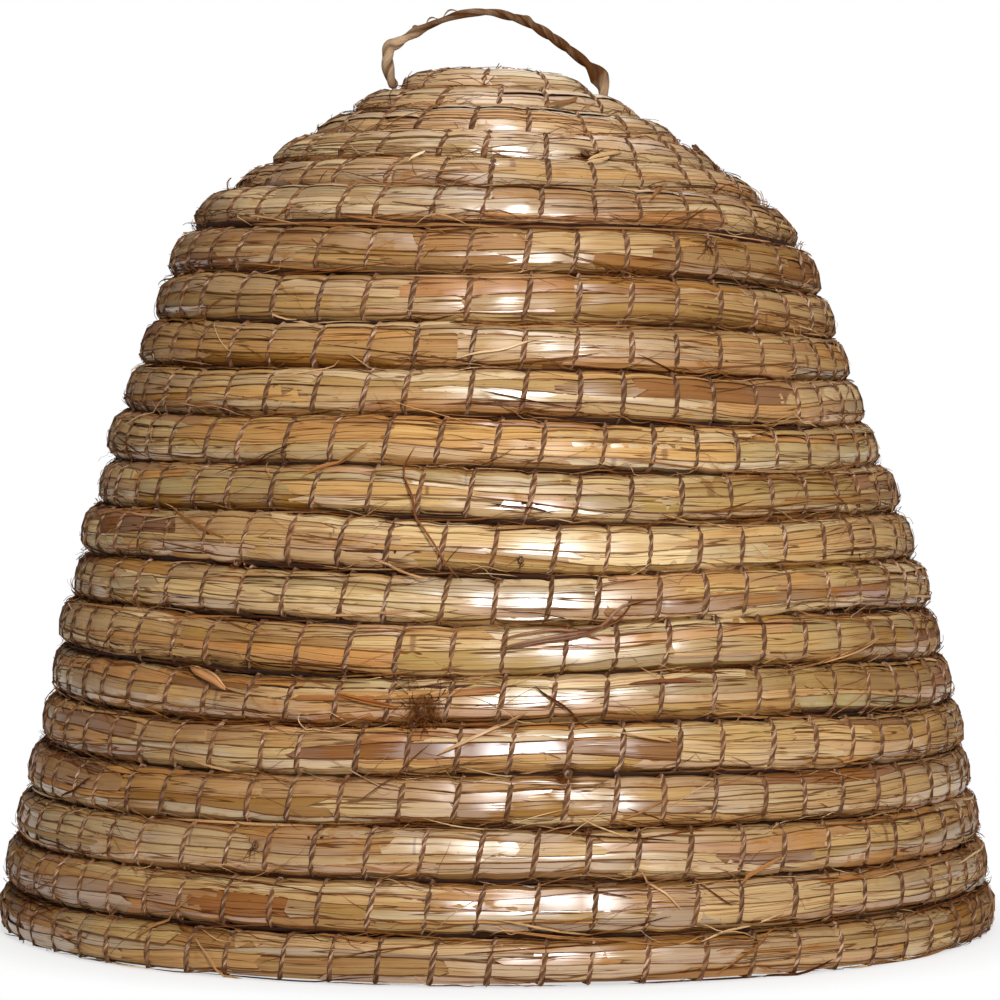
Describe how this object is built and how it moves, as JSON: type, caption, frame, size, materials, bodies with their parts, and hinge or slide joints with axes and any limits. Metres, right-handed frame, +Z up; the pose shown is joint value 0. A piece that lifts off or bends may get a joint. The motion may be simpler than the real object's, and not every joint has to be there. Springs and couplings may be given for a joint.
{
  "type": "bee skep",
  "caption": "Dome-shaped hive of coiled straw rope, open at its rim, each turn sewn to the next with twine, with a cord handle that swings on the crown.",
  "frame": {"origin": "centre of the rim on the surface that the skep stands on", "axes": "+Z up, +X to the picture's right, -Y towards its camera"},
  "size_m": [0.4406, 0.4399, 0.4072],
  "materials": {
    "straw": "dry wheat straw, golden tan, satin",
    "twine": "two-ply jute twine, brown",
    "cord": "two-ply twisted cord, brown, waxed"
  },
  "bodies": {
    "skep": {"straw_rope": "straw", "binding_twine_01": "twine", "binding_twine_02": "twine", "binding_twine_03": "twine", "binding_twine_04": "twine", "binding_twine_05": "twine", "binding_twine_06": "twine", "binding_twine_07": "twine", "binding_twine_08": "twine", "binding_twine_09": "twine", "binding_twine_10": "twine", "binding_twine_11": "twine", "binding_twine_12": "twine", "binding_twine_13": "twine", "binding_twine_14": "twine", "binding_twine_15": "twine", "binding_twine_16": "twine", "binding_twine_17": "twine", "binding_twine_18": "twine", "binding_twine_19": "twine", "binding_twine_20": "twine", "binding_twine_21": "twine", "binding_twine_22": "twine", "handle_end_left": "cord", "handle_end_right": "cord"},
    "handle": {"handle_cord": "cord"}
  },
  "joints": [
    {"name": "handle_swing", "type": "hinge", "parent": "skep", "child": "handle", "pos_m": [0.00103, 0, 0.36932], "axis": [0.9986, 0, -0.0535], "range_deg": [-60, 60]}
  ]
}
